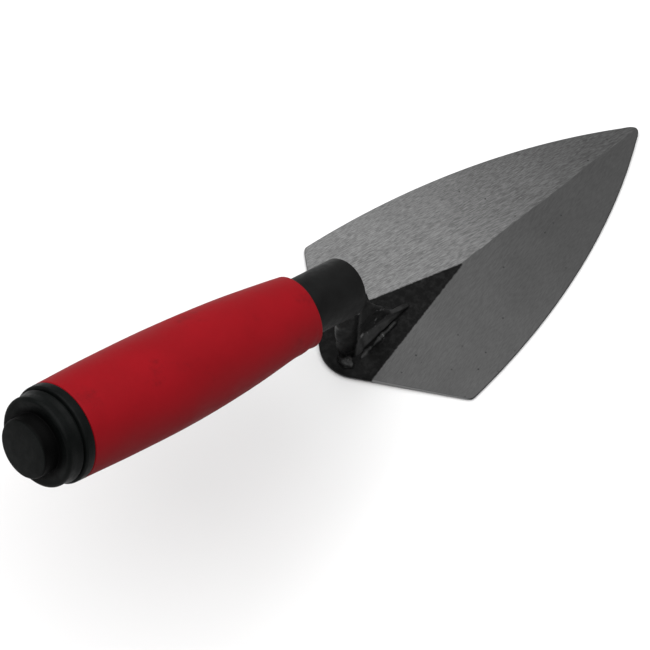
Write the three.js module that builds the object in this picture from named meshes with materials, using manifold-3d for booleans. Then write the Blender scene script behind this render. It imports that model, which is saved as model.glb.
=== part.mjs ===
// A brick trowel: a ground steel blade, a forged shank welded to it, and a soft-grip handle driven
// onto the shank's tang. Millimetres, +Z up, +X towards the blade's tip, +Y to the left of the
// working direction. The origin is on the blade's flat underside, on the centreline, below the heel
// end of the shank's foot.
import * as THREE from "three";
import { mergeVertices } from "three/addons/utils/BufferGeometryUtils.js";
import Module from "manifold-3d";

const wasm = await Module();
wasm.setup();

// Clearance kept between pieces that touch on the real tool.
const GAP = 0.3;
const ROUND_SEGMENTS = 48;

// Blade: outline on the ground plane, symmetrical about X.
const BLADE_THICKNESS = 2;
const HEEL_POINT_X = -12; // where the two straight heel edges would meet
const HEEL_ROUND = 13; // radius that rounds the heel point off
const CORNER_X = 17.6; // where a heel edge meets a long edge
const CORNER_Y = 41;
const CORNER_ROUND = 2.4;
const TIP_X = 139.6;
const TIP_HALF_WIDTH = 1.6;
const TIP_ROUND = 3;
// Directions and lengths of the long edge's two Bezier handles.
const EDGE_START_HANDLE = [24.9, -2.0];
const EDGE_END_HANDLE = [-46.3, 30.0];
// Grinding: two flat facets meet on a ridge that runs from the end of the unground heel to the tip.
const RIDGE_START_X = 54.5;
const RIDGE_TIP_THICKNESS = 1.3;
const LEFT_FLAT_SLOPE = 0.29; // sideways run of the unground heel's border, for each mm along X
const RIGHT_FLAT_SLOPE = 0.24;

// Handle axis: from the ferrule's front face, rearwards and up.
const FERRULE_FACE = new THREE.Vector3(-5.4, 0, 45.5);
const HANDLE_RISE = THREE.MathUtils.degToRad(19.2);

// Handle pieces, as distances back along the handle axis and radii.
const FERRULE_LENGTH = 30;
const FERRULE_RADIUS = 10;
const FERRULE_WALL = 1.2;
const FERRULE_FACE_WALL = 1.5;
const FERRULE_EDGE = 0.6;
const GRIP_START = 22.5;
const GRIP_END = 127.4;
const GRIP_LIP = 0.7; // rounding of the grip's front edge
// Outer radius of the grip at shares of its length.
const GRIP_RADII = [
  [0, 12.1],
  [0.08, 13.0],
  [0.3, 15.2],
  [0.55, 16.45],
  [0.8, 16.45],
  [1, 15.9],
];
const GRIP_WALL = 3;
const GRIP_BELLY = 0.5; // how far the barrel's middle hangs below the axis
// The lip is cut back for the thumb, a little to the right of the top, and reaches forward below.
const THUMB_ANGLE = THREE.MathUtils.degToRad(12);
const THUMB_CUT = 1.9;
const LIP_REACH = 0.35;
const THUMB_CUT_FROM = THREE.MathUtils.degToRad(15); // angle from the thumb where the cut starts to fade
const THUMB_CUT_TO = THREE.MathUtils.degToRad(105);
const THUMB_CUT_LENGTH = 12; // how far behind the lip the grip's shape still leans with it
// A finger stop under the lip: a narrow flange on the lip itself, and a low swell behind it.
const FINGER_STOP = [
  { rise: 0.75, crest: 0.6, spread: 1.3 },
  { rise: 0.35, crest: 6, spread: 3 },
];
const FINGER_STOP_FROM = THREE.MathUtils.degToRad(60); // angle from the top where it starts to rise
const FINGER_STOP_TO = THREE.MathUtils.degToRad(118);
const LIP_STATIONS = [0, 0.5, 1, 1.6, 2.4, 3.6, 5.2, 7.2]; // distances behind the lip's rounding
const FLANGE_LENGTH = 2.7; // the core's rear flange, which shows behind the grip
const FLANGE_EDGE = 0.5;
const SPIGOT_RADIUS = 10;
const SPIGOT_LENGTH = 3.2;
// End cap: a groove, a shoulder, a barrel that ends in a flat ring, and a round boss on the ring.
const CAP_END = 137.2;
const CAP_RADIUS = 14.6;
const CAP_SHOULDER_RADIUS = 15.1;
const CAP_SHOULDER_WIDTH = 1.6;
const CAP_GROOVE_RADIUS = 14;
const CAP_GROOVE_WIDTH = 0.7;
const CAP_EDGE = 1.4;
const BOSS_RADIUS = 9.7;
const BOSS_END = 142.4;
const BOSS_EDGE = 0.6;
const BOSS_ROOT_DEPTH = 0.4; // how far the ring falls towards the boss

// Shank: a leg with a wedge-shaped back, a thin web before it, and a foot with sloping flanks.
const TANG_RADIUS = 4.4;
const TANG_END_RADIUS = 2.8;
const TANG_LENGTH = 72;
const TANG_POINT_LENGTH = 4;
const TANG_TAPER_START = 6;
const TANG_ROOT = 1; // how far the tang's shape reaches into the neck
const TANG_BORE_DEPTH = 74;
const SHANK_HALF_WIDTH = 3.6;
const SHANK_BACK_HALF_WIDTH = 1.5;
const SHANK_BACK_X = -7.2;
const SHANK_WIDEST_X = -2.4;
const SHANK_TOP_REACH = 80; // taller than the whole shank
// Side view of the shank, as x and z: each curve's control point, then its end.
const SHANK_FRONT_CURVES = [
  [26.6, 3.9, 22, 4.8],
  [16.4, 8.8, 11.2, 18.4],
  [6.6, 27, 4.4, 36.7],
];
const NECK_FRONT_CONTROL = [2.6, 46];
const SHANK_BACK_CURVE = [-7.4, 28, -6.7, 18];
const HEEL_CONTROL = [-6, 8];
const FOOT_HEEL_X = -3.6;
const FOOT_TOE_X = 27.6;
const FOOT_TOE_HALF_WIDTH = 0.9;
const FOOT_TAPER_START_X = 1;
const WEB_START_X = 1.6;
const WEB_HALF_WIDTH = 0.9;
const FLANK_TOP_Z = 8.4; // where the foot's sloping flanks meet the web

// Welds round the foot: a fillet on each side, and a blob at each end.
const WELD_SIDE = 2.1;
const WELD_SWELL = 0.8; // how far the swollen face reaches towards the section's square corner
const WELD_START_X = 1.5;
const WELD_END_X = 21;
const HEEL_BLOB = { x: -5.6, y: -1.4, radii: [2.5, 3.4, 1.8] };
const TOE_BLOB = { x: 28.3, y: 0.2, radii: [1.5, 1.2, 0.9] };

const back = new THREE.Vector3(-Math.cos(HANDLE_RISE), 0, Math.sin(HANDLE_RISE));
const up = new THREE.Vector3(Math.sin(HANDLE_RISE), 0, Math.cos(HANDLE_RISE));
const side = new THREE.Vector3().crossVectors(up, back);
// Local frame of the handle: X up, Y back along the axis, Z to the right.
const handleTurn = new THREE.Matrix4().makeBasis(up, back, side);
const handlePlace = handleTurn.clone().setPosition(FERRULE_FACE);

// The same geometry with its shared vertices merged, so that no seam can open when it is moved.
function seamless(geometry) {
  const bare = geometry.clone();
  bare.deleteAttribute("normal");
  bare.deleteAttribute("uv");
  const merged = mergeVertices(bare, 1e-4);
  merged.computeVertexNormals();
  return merged;
}

// A closed geometry as a manifold-3d solid.
function solidOf(geometry) {
  const merged = seamless(geometry);
  return new wasm.Manifold(
    new wasm.Mesh({
      numProp: 3,
      vertProperties: merged.attributes.position.array,
      triVerts: new Uint32Array(merged.index.array),
    }),
  );
}

// A manifold-3d solid as a geometry with flat-shaded normals.
function geometryOf(solid) {
  const mesh = solid.getMesh();
  const geometry = new THREE.BufferGeometry();
  geometry.setAttribute("position", new THREE.BufferAttribute(mesh.vertProperties, 3));
  geometry.setIndex(new THREE.BufferAttribute(mesh.triVerts, 1));
  const flat = geometry.toNonIndexed();
  flat.computeVertexNormals();
  return flat;
}

// A solid of revolution about the local Y axis, from [radius, distance along the axis] pairs.
function turned(profile) {
  const points = profile.map(([radius, along]) => new THREE.Vector2(radius, along));
  return seamless(new THREE.LatheGeometry(points, ROUND_SEGMENTS));
}

// Quarter-round corner points, from one [radius, along] pair to another, bulging towards a third.
function roundCorner(from, corner, to, steps = 5) {
  const curve = new THREE.QuadraticBezierCurve(
    new THREE.Vector2(...from),
    new THREE.Vector2(...corner),
    new THREE.Vector2(...to),
  );
  return curve.getPoints(steps).map((point) => [point.x, point.y]);
}

// An outline in the XZ plane, extruded along Y and centred on it.
function extrudedAcross(shape, halfWidth) {
  const geometry = new THREE.ExtrudeGeometry(shape, {
    depth: 2 * halfWidth,
    bevelEnabled: false,
    curveSegments: 10,
  });
  geometry.rotateX(Math.PI / 2);
  geometry.translate(0, halfWidth, 0);
  return geometry;
}

function named(name, geometry, material) {
  const mesh = new THREE.Mesh(geometry, material);
  mesh.name = name;
  return mesh;
}

const materials = {
  groundSteel: new THREE.MeshStandardMaterial({ color: 0x9a9a9a, roughness: 0.35, metalness: 1 }),
  blackLacquer: new THREE.MeshStandardMaterial({ color: 0x181818, roughness: 0.4, metalness: 0 }),
  blackPlastic: new THREE.MeshStandardMaterial({ color: 0x141414, roughness: 0.55, metalness: 0 }),
  redRubber: new THREE.MeshStandardMaterial({ color: 0xa01820, roughness: 0.7, metalness: 0 }),
};

// ---- blade

// Half of the blade's outline, on the +Y side, from the heel point to the tip.
function bladeHalfOutline() {
  const heelPoint = new THREE.Vector2(HEEL_POINT_X, 0);
  const corner = new THREE.Vector2(CORNER_X, CORNER_Y);
  const heelEdge = corner.clone().sub(heelPoint).normalize();
  const halfAngle = Math.atan2(heelEdge.y, heelEdge.x);
  const centre = new THREE.Vector2(HEEL_POINT_X + HEEL_ROUND / Math.sin(halfAngle), 0);
  const arcEnd = Math.PI / 2 + halfAngle;
  const heelArc = new THREE.EllipseCurve(
    centre.x,
    centre.y,
    HEEL_ROUND,
    HEEL_ROUND,
    Math.PI,
    arcEnd,
    true,
  );
  const edgeCurve = new THREE.CubicBezierCurve(
    corner,
    new THREE.Vector2(CORNER_X + EDGE_START_HANDLE[0], CORNER_Y + EDGE_START_HANDLE[1]),
    new THREE.Vector2(TIP_X + EDGE_END_HANDLE[0], TIP_HALF_WIDTH + EDGE_END_HANDLE[1]),
    new THREE.Vector2(TIP_X, TIP_HALF_WIDTH),
  );
  const edgeLength = edgeCurve.getLength();
  const afterCorner = CORNER_ROUND / edgeLength;
  const beforeTip = 1 - TIP_ROUND / edgeLength;
  const cornerCurve = new THREE.QuadraticBezierCurve(
    corner.clone().addScaledVector(heelEdge, -CORNER_ROUND),
    corner,
    edgeCurve.getPointAt(afterCorner),
  );
  const tipCurve = new THREE.QuadraticBezierCurve(
    edgeCurve.getPointAt(beforeTip),
    new THREE.Vector2(TIP_X + TIP_HALF_WIDTH / 2, TIP_HALF_WIDTH),
    new THREE.Vector2(TIP_X + TIP_HALF_WIDTH / 2, 0),
  );
  const edgeSteps = 36;
  const edgePoints = [];
  for (let i = 1; i < edgeSteps; i += 1) {
    const share = afterCorner + ((beforeTip - afterCorner) * i) / edgeSteps;
    edgePoints.push(edgeCurve.getPointAt(share));
  }
  return [
    ...heelArc.getPoints(12),
    ...cornerCurve.getPoints(6),
    ...edgePoints,
    ...tipCurve.getPoints(6),
  ];
}

// A thick slab whose underside lies on one ground facet, so that it cuts away all above the facet.
function facetCutter(sideSign, flatSlope) {
  const ridgeStart = new THREE.Vector3(RIDGE_START_X, 0, BLADE_THICKNESS);
  const alongRidge = new THREE.Vector3(TIP_X - RIDGE_START_X, 0, RIDGE_TIP_THICKNESS - BLADE_THICKNESS);
  const alongFlatBorder = new THREE.Vector3(-1, sideSign * flatSlope, 0);
  const normal = new THREE.Vector3().crossVectors(alongRidge, alongFlatBorder);
  normal.multiplyScalar(Math.sign(normal.z)).normalize();
  const across = new THREE.Vector3().crossVectors(normal, alongRidge).normalize();
  const along = new THREE.Vector3().crossVectors(across, normal);
  const slabSide = 500;
  const slabHeight = 20;
  const slab = new THREE.BoxGeometry(slabSide, slabSide, slabHeight);
  slab.translate(0, 0, slabHeight / 2);
  slab.applyMatrix4(new THREE.Matrix4().makeBasis(along, across, normal).setPosition(ridgeStart));
  return solidOf(slab);
}

function makeBlade() {
  const half = bladeHalfOutline();
  const mirrored = half
    .slice(1, -1)
    .reverse()
    .map((point) => new THREE.Vector2(point.x, -point.y));
  const outline = new THREE.Shape([...half, ...mirrored]);
  const plate = new THREE.ExtrudeGeometry(outline, { depth: BLADE_THICKNESS, bevelEnabled: false });
  // The two facets fall away from one ridge, so what is over both of them at once is what they leave.
  const left = facetCutter(1, LEFT_FLAT_SLOPE);
  const right = facetCutter(-1, RIGHT_FLAT_SLOPE);
  return named("blade", geometryOf(solidOf(plate).subtract(left).subtract(right)), materials.groundSteel);
}

// ---- shank

// Side view of the neck, leg and foot, from the heel along the foot, up the web and down the back.
function shankSideShape() {
  const footZ = BLADE_THICKNESS + GAP;
  const neckFront = FERRULE_FACE.clone().addScaledVector(back, -2 * GAP);
  const neckTop = neckFront.clone().addScaledVector(up, TANG_RADIUS);
  const neckBottom = neckFront.clone().addScaledVector(up, -TANG_RADIUS);
  const shape = new THREE.Shape();
  shape.moveTo(FOOT_HEEL_X, footZ);
  shape.lineTo(FOOT_TOE_X, footZ);
  SHANK_FRONT_CURVES.forEach((curve) => shape.quadraticCurveTo(...curve));
  shape.quadraticCurveTo(...NECK_FRONT_CONTROL, neckTop.x, neckTop.z);
  shape.lineTo(neckBottom.x, neckBottom.z);
  shape.quadraticCurveTo(...SHANK_BACK_CURVE);
  shape.quadraticCurveTo(...HEEL_CONTROL, FOOT_HEEL_X, footZ);
  return shape;
}

// Top view of the shank, which widens from its back and tapers to the toe.
function shankTopShape() {
  const half = [
    [SHANK_BACK_X, SHANK_BACK_HALF_WIDTH],
    [SHANK_WIDEST_X, SHANK_HALF_WIDTH],
    [FOOT_TAPER_START_X, SHANK_HALF_WIDTH],
    [FOOT_TOE_X - 1, FOOT_TOE_HALF_WIDTH],
  ];
  const shape = new THREE.Shape();
  half.forEach(([x, y], i) => (i ? shape.lineTo(x, -y) : shape.moveTo(x, -y)));
  shape.quadraticCurveTo(FOOT_TOE_X, 0, FOOT_TOE_X - 1, FOOT_TOE_HALF_WIDTH);
  half.reverse().forEach(([x, y]) => shape.lineTo(x, y));
  shape.closePath();
  return shape;
}

// What is cut away beside the web, down to the foot's sloping flank.
function besideWeb(sideSign) {
  const footZ = BLADE_THICKNESS + GAP;
  const out = 2 * SHANK_HALF_WIDTH;
  const section = new THREE.Shape();
  section.moveTo(sideSign * WEB_HALF_WIDTH, FLANK_TOP_Z);
  section.lineTo(sideSign * SHANK_HALF_WIDTH, footZ);
  section.lineTo(sideSign * out, footZ);
  section.lineTo(sideSign * out, SHANK_TOP_REACH);
  section.lineTo(sideSign * WEB_HALF_WIDTH, SHANK_TOP_REACH);
  section.closePath();
  const reach = FOOT_TOE_X + 1 - WEB_START_X;
  const cutter = new THREE.ExtrudeGeometry(section, { depth: reach, bevelEnabled: false });
  const across = new THREE.Vector3(0, 1, 0);
  const upward = new THREE.Vector3(0, 0, 1);
  const forward = new THREE.Vector3(1, 0, 0);
  const place = new THREE.Matrix4().makeBasis(across, upward, forward);
  cutter.applyMatrix4(place.setPosition(WEB_START_X, 0, 0));
  return solidOf(cutter);
}

function makeShank() {
  const side = solidOf(extrudedAcross(shankSideShape(), SHANK_HALF_WIDTH));
  const top = solidOf(
    new THREE.ExtrudeGeometry(shankTopShape(), { depth: SHANK_TOP_REACH, bevelEnabled: false }),
  );
  const tang = turned([
    [0, -TANG_ROOT],
    [TANG_RADIUS, -TANG_ROOT],
    [TANG_RADIUS, TANG_TAPER_START],
    [TANG_END_RADIUS, TANG_LENGTH - TANG_POINT_LENGTH],
    [TANG_END_RADIUS / 2, TANG_LENGTH],
    [0, TANG_LENGTH],
  ]);
  tang.applyMatrix4(handlePlace);
  const forged = side.intersect(top).subtract(besideWeb(1)).subtract(besideWeb(-1));
  return named("shank", geometryOf(forged.add(solidOf(tang))), materials.blackLacquer);
}

// ---- welds

// A fillet weld: a triangle with a swollen face, extruded along one side of the foot.
function makeSideWeld(name, sideSign) {
  const section = new THREE.Shape();
  section.moveTo(0, 0);
  section.lineTo(WELD_SIDE, 0);
  section.quadraticCurveTo(WELD_SIDE * WELD_SWELL, WELD_SIDE * WELD_SWELL, 0, WELD_SIDE);
  section.closePath();
  const taper = Math.atan2(
    SHANK_HALF_WIDTH - FOOT_TOE_HALF_WIDTH,
    FOOT_TOE_X - 1 - FOOT_TAPER_START_X,
  );
  const length = (WELD_END_X - WELD_START_X) / Math.cos(taper);
  const bead = new THREE.ExtrudeGeometry(section, {
    depth: length,
    bevelEnabled: false,
    curveSegments: 6,
  });
  // The section's X points away from the foot, its Y up, and its depth along the foot.
  const outward = new THREE.Vector3(Math.sin(taper), sideSign * Math.cos(taper), 0);
  const upward = new THREE.Vector3(0, 0, 1);
  const along = new THREE.Vector3().crossVectors(outward, upward);
  const startX = along.x > 0 ? WELD_START_X : WELD_END_X;
  const reach = SHANK_HALF_WIDTH - Math.tan(taper) * (startX - FOOT_TAPER_START_X);
  const place = new THREE.Matrix4().makeBasis(outward, upward, along);
  place.setPosition(startX, sideSign * (reach + GAP / Math.cos(taper)), BLADE_THICKNESS + GAP);
  bead.applyMatrix4(place);
  return named(name, bead, materials.blackLacquer);
}

// A round blob of weld metal: half an ellipsoid standing on the blade, clear of the shank.
function makeWeldBlob(name, { x, y, radii }, shankSolid) {
  const standsAt = BLADE_THICKNESS + GAP;
  const ball = new THREE.SphereGeometry(1, 20, 12);
  ball.scale(...radii);
  ball.translate(x, y, standsAt);
  const boxSide = 20;
  const above = new THREE.BoxGeometry(boxSide, boxSide, boxSide);
  above.translate(x, y, standsAt + boxSide / 2);
  const blob = solidOf(ball).intersect(solidOf(above)).subtract(shankSolid);
  return named(name, geometryOf(blob), materials.blackLacquer);
}

// ---- handle

// The barrel's radii as a smooth curve, sampled finely enough to read between the samples.
const gripCurve = new THREE.SplineCurve(GRIP_RADII.map((pair) => new THREE.Vector2(...pair)));
const gripSamples = gripCurve.getPoints(80);

function gripRadius(share) {
  const below = gripSamples.filter((sample) => sample.x < share).length;
  const after = THREE.MathUtils.clamp(below, 1, gripSamples.length - 1);
  const [before, beyond] = [gripSamples[after - 1], gripSamples[after]];
  return THREE.MathUtils.mapLinear(share, before.x, beyond.x, before.y, beyond.y);
}

const gripShare = (along) => (along - GRIP_START) / (GRIP_END - GRIP_START);
const coreRadius = (along) => gripRadius(gripShare(along)) - GRIP_WALL;

// Stations along the part of the core that the grip covers.
function coreStations() {
  const from = FERRULE_LENGTH + GAP;
  const to = GRIP_END;
  const steps = 8;
  return Array.from({ length: steps + 1 }, (_, i) => from + ((to - from) * i) / steps);
}

function makeFerrule() {
  const holeRadius = TANG_RADIUS + GAP;
  const profile = [
    [holeRadius, 0],
    ...roundCorner(
      [FERRULE_RADIUS - FERRULE_EDGE, 0],
      [FERRULE_RADIUS, 0],
      [FERRULE_RADIUS, FERRULE_EDGE],
      3,
    ),
    [FERRULE_RADIUS, FERRULE_LENGTH],
    [FERRULE_RADIUS - FERRULE_WALL, FERRULE_LENGTH],
    [FERRULE_RADIUS - FERRULE_WALL, FERRULE_FACE_WALL],
    [holeRadius, FERRULE_FACE_WALL],
    [holeRadius, 0],
  ];
  return named("ferrule", turned(profile), materials.blackPlastic);
}

function makeHandleCore() {
  const noseRadius = FERRULE_RADIUS - FERRULE_WALL - GAP;
  const boreRadius = TANG_RADIUS + GAP;
  const noseStart = FERRULE_FACE_WALL + GAP;
  const flangeStart = GRIP_END + GAP;
  const flangeEnd = flangeStart + FLANGE_LENGTH;
  const flangeRadius = gripRadius(1);
  const profile = [
    [0, TANG_BORE_DEPTH],
    [boreRadius, TANG_BORE_DEPTH],
    [boreRadius, noseStart],
    [noseRadius, noseStart],
    [noseRadius, FERRULE_LENGTH + GAP],
    ...coreStations().map((along) => [coreRadius(along), along]),
    [coreRadius(GRIP_END), flangeStart],
    [flangeRadius, flangeStart],
    ...roundCorner(
      [flangeRadius - FLANGE_EDGE / 2, flangeEnd - FLANGE_EDGE],
      [flangeRadius - FLANGE_EDGE / 2, flangeEnd],
      [flangeRadius - 2 * FLANGE_EDGE, flangeEnd],
      3,
    ),
    [SPIGOT_RADIUS, flangeEnd],
    [SPIGOT_RADIUS, flangeEnd + SPIGOT_LENGTH],
    [0, flangeEnd + SPIGOT_LENGTH],
  ];
  return named("handle_core", turned(profile), materials.blackPlastic);
}

function makeGripSleeve() {
  const frontRadius = gripRadius(0);
  const lipEnd = GRIP_START + GRIP_LIP;
  const stations = LIP_STATIONS.map((behind) => lipEnd + behind);
  const from = stations.at(-1);
  const steps = 13;
  for (let i = 1; i <= steps; i += 1) stations.push(from + ((GRIP_END - from) * i) / steps);
  const outer = stations.map((along) => [gripRadius(gripShare(along)), along]);
  const overFerrule = FERRULE_RADIUS + GAP;
  const bore = coreStations()
    .reverse()
    .map((along) => [coreRadius(along) + GAP, along]);
  const profile = [
    [overFerrule, GRIP_START + GRIP_LIP / 2],
    ...roundCorner(
      [overFerrule + GRIP_LIP / 2, GRIP_START],
      [frontRadius, GRIP_START],
      outer[0],
      4,
    ).slice(0, -1),
    ...outer,
    ...bore,
    [overFerrule, FERRULE_LENGTH + GAP],
    [overFerrule, GRIP_START + GRIP_LIP / 2],
  ];
  const sleeve = turned(profile);
  shapeByHand(sleeve);
  return named("grip_sleeve", sleeve, materials.redRubber);
}

// How much the finger stop swells the grip, at a place along it and an angle from its top.
function fingerStop(along, angle) {
  const under = THREE.MathUtils.smoothstep(Math.abs(angle), FINGER_STOP_FROM, FINGER_STOP_TO);
  return FINGER_STOP.reduce((sum, { rise, crest, spread }) => {
    const fromCrest = (along - GRIP_START - crest) / spread;
    return sum + rise * Math.exp(-(fromCrest ** 2)) * under;
  }, 0);
}

// How far the grip's shape leans back at a place along it, because the lip is cut back for the thumb.
function thumbLean(along, angle) {
  const turn = THREE.MathUtils.euclideanModulo(angle - THUMB_ANGLE + Math.PI, 2 * Math.PI) - Math.PI;
  const fade = THREE.MathUtils.smoothstep(Math.abs(turn), THUMB_CUT_FROM, THUMB_CUT_TO);
  const near = Math.max(1 - (along - GRIP_START) / THUMB_CUT_LENGTH, 0);
  return THREE.MathUtils.lerp(THUMB_CUT, -LIP_REACH, fade) * near ** 2;
}

// The moulding isn't quite round: it leans at the lip, has a finger stop, and its barrel hangs a little
// under the axis.
function shapeByHand(sleeve) {
  const position = sleeve.attributes.position;
  for (let i = 0; i < position.count; i += 1) {
    const along = position.getY(i);
    const radius = Math.hypot(position.getX(i), position.getZ(i));
    const angle = Math.atan2(position.getZ(i), position.getX(i));
    position.setY(i, along + thumbLean(along, angle));
    if (radius < gripRadius(gripShare(along)) - GRIP_WALL / 3) continue;
    const swollen = radius + fingerStop(along, angle);
    const share = THREE.MathUtils.clamp(gripShare(along), 0, 1);
    const hang = GRIP_BELLY * Math.sin(Math.PI * share) ** 2;
    position.setX(i, swollen * Math.cos(angle) - hang);
    position.setZ(i, swollen * Math.sin(angle));
  }
}

function makeEndCap() {
  const front = GRIP_END + 2 * GAP + FLANGE_LENGTH;
  const boreRadius = SPIGOT_RADIUS + GAP;
  const boreEnd = front + SPIGOT_LENGTH;
  const grooveEnd = front + CAP_GROOVE_WIDTH;
  const profile = [
    [0, boreEnd],
    [boreRadius, boreEnd],
    [boreRadius, front],
    [CAP_GROOVE_RADIUS, front],
    [CAP_GROOVE_RADIUS, grooveEnd],
    ...roundCorner(
      [CAP_SHOULDER_RADIUS, grooveEnd],
      [CAP_SHOULDER_RADIUS, grooveEnd + CAP_SHOULDER_WIDTH / 2],
      [CAP_RADIUS, grooveEnd + CAP_SHOULDER_WIDTH],
      4,
    ),
    ...roundCorner(
      [CAP_RADIUS, CAP_END - CAP_EDGE],
      [CAP_RADIUS, CAP_END],
      [CAP_RADIUS - CAP_EDGE, CAP_END],
    ),
    [BOSS_RADIUS, CAP_END - BOSS_ROOT_DEPTH],
    ...roundCorner(
      [BOSS_RADIUS, BOSS_END - BOSS_EDGE],
      [BOSS_RADIUS, BOSS_END],
      [BOSS_RADIUS - BOSS_EDGE, BOSS_END],
      3,
    ),
    [0, BOSS_END],
  ];
  return named("end_cap", turned(profile), materials.blackPlastic);
}

function makeHandle() {
  const handle = new THREE.Group();
  handle.setRotationFromMatrix(handleTurn);
  handle.position.copy(FERRULE_FACE);
  handle.add(makeFerrule(), makeHandleCore(), makeGripSleeve(), makeEndCap());
  return handle;
}

// ---- the whole tool

const shank = makeShank();
const shankWithGap = solidOf(shank.geometry.clone().translate(0, 0, -GAP));
const trowel = new THREE.Group();
trowel.add(
  makeBlade(),
  shank,
  makeSideWeld("weld_right", -1),
  makeSideWeld("weld_left", 1),
  makeWeldBlob("weld_heel", HEEL_BLOB, shankWithGap),
  makeWeldBlob("weld_toe", TOE_BLOB, shankWithGap),
  makeHandle(),
);

export default trowel;
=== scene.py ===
import math

import bmesh
import bpy
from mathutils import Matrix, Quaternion, Vector, noise


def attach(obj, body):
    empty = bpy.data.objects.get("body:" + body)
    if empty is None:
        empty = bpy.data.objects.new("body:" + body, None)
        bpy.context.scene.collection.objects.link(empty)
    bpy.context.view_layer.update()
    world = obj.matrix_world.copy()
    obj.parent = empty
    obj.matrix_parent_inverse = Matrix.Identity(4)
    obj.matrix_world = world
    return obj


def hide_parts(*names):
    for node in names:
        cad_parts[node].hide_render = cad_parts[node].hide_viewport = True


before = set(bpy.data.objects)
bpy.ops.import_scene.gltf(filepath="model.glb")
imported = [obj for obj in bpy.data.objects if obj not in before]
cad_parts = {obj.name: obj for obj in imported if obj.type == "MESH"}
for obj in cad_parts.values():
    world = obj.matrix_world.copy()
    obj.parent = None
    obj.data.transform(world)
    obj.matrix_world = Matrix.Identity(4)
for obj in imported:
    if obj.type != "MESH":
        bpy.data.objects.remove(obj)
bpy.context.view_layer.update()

# The noise that shapes the forging and the welds starts from the clock unless it is seeded.
noise.seed_set(1)

MM = 0.001
TAU = 2 * math.pi

# ---- the blade's measures

THICKNESS = 2.0
# The heel's two straight edges would meet here, and an arc rounds them off.
HEEL_POINT_X = -12.0
HEEL_ROUND = 13.0
CORNER = Vector((17.6, 41.0))
CORNER_ROUND = 2.4
# Each long edge is one Bezier curve from the corner to the tip.
EDGE_START_HANDLE = Vector((24.9, -2.0))
EDGE_END_HANDLE = Vector((-46.3, 30.0))
EDGE_LENGTH = 134.0
TIP_X = 139.6
TIP_HALF_WIDTH = 1.6
TIP_ROUND = 3.0
# The unground heel narrows to the start of the ridge, with a slope of its own on each side.
RIDGE_START_X = 54.5
RIDGE_TIP_THICKNESS = 1.3
LEFT_FLAT_SLOPE = 0.29
RIGHT_FLAT_SLOPE = 0.24
RIM_ROUND = 0.3

# ---- the handle's measures; distances along it run back from the ferrule's face

FERRULE_FACE = Vector((-5.4, 0.0, 45.5))
HANDLE_RISE = math.radians(19.2)
BACK = Vector((-math.cos(HANDLE_RISE), 0.0, math.sin(HANDLE_RISE)))
UP = Vector((math.sin(HANDLE_RISE), 0.0, math.cos(HANDLE_RISE)))
RIGHT = UP.cross(BACK)

FERRULE_RADIUS = 10.0
FERRULE_LENGTH = 30.0
FERRULE_BORE_RADIUS = 8.8
FERRULE_FACE_THICKNESS = 1.5

TANG_RADIUS = 4.4
TANG_LENGTH = 72.0
TANG_TAPER_START = 6.0
TANG_END_RADIUS = 2.8
TANG_POINT_RADIUS = 1.6
TANG_HOLE_RADIUS = 4.7
TANG_HOLE_DEPTH = 74.0

GRIP_START = 22.5
GRIP_END = 127.4
# The grip's outside, as shares of its length and radii.
GRIP_RADII = (
    (0.0, 12.1),
    (0.08, 13.0),
    (0.3, 15.2),
    (0.55, 16.45),
    (0.8, 16.45),
    (1.0, 15.9),
)
GRIP_LIP = 0.6
GRIP_BORE_RADIUS = 10.3
GRIP_REAR_WALL = 2.7
# The grip's outside is drawn through evenly spaced stations, which leave room for its rounded ends.
STATION_STEP = 0.5
REAR_ROOM = 0.8
STATIONS = round((GRIP_END - REAR_ROOM - GRIP_START - GRIP_LIP) / STATION_STEP)

CORE_NOSE_START = 1.8
CORE_NOSE_RADIUS = 8.5
CORE_NOSE_END = 30.3
CORE_FRONT_RADIUS = 10.4
# The core's barrel is widest here, and the grip's bore follows it with a small gap.
BARREL_AT = 75.0
BARREL_RADIUS = 13.1
CORE_REAR_RADIUS = 12.8
CORE_GAP = 0.3
FLANGE_START = GRIP_END + 0.2
FLANGE_END = 130.9
SPIGOT_RADIUS = 10.0
SPIGOT_END = 133.6

# The cap: a groove at its front, a shoulder, a rounded rim, and a boss inside a flat ring.
CAP_FRONT = 131.0
CAP_BORE_RADIUS = 10.3
CAP_BORE_END = CAP_FRONT + 3.2
GROOVE_RADIUS = 14.5
GROOVE_END = 131.6
SHOULDER_RADIUS = 15.1
SHOULDER_AT = 131.7
RIM_RADIUS = 14.6
RIM_START = 133.6
RIM_END = 137.3
RING_RADIUS = 12.0
RING_AT = 136.9
BOSS_RADIUS = 9.6
BOSS_FOOT = 136.7
BOSS_END = 142.5

# Angles round the handle start at the top and go to the right. The grip's lip is cut back round the
# thumb's place, and swells below to stop the fingers.
THUMB_ANGLE = math.radians(12)
THUMB_CUT_FROM = math.radians(15)
THUMB_CUT_TO = math.radians(105)
THUMB_CUT = 1.9
LIP_REACH = 0.35
THUMB_CUT_LENGTH = 12.0
FINGER_STOP_FROM = math.radians(60)
FINGER_STOP_TO = math.radians(118)
# Each swelling's rise, its crest's distance behind the lip, and its spread.
FINGER_STOP = ((0.75, 0.6, 1.3), (0.35, 6.0, 3.0))
BARREL_SAG = 0.5


# ---- small tools


def clamped(value):
    """A value held between nought and one."""
    return min(max(value, 0.0), 1.0)


def smoothstep(low, high, value):
    share = clamped((value - low) / (high - low))
    return share * share * (3 - 2 * share)


def mix(start, end, share):
    return start + (end - start) * share


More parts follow.
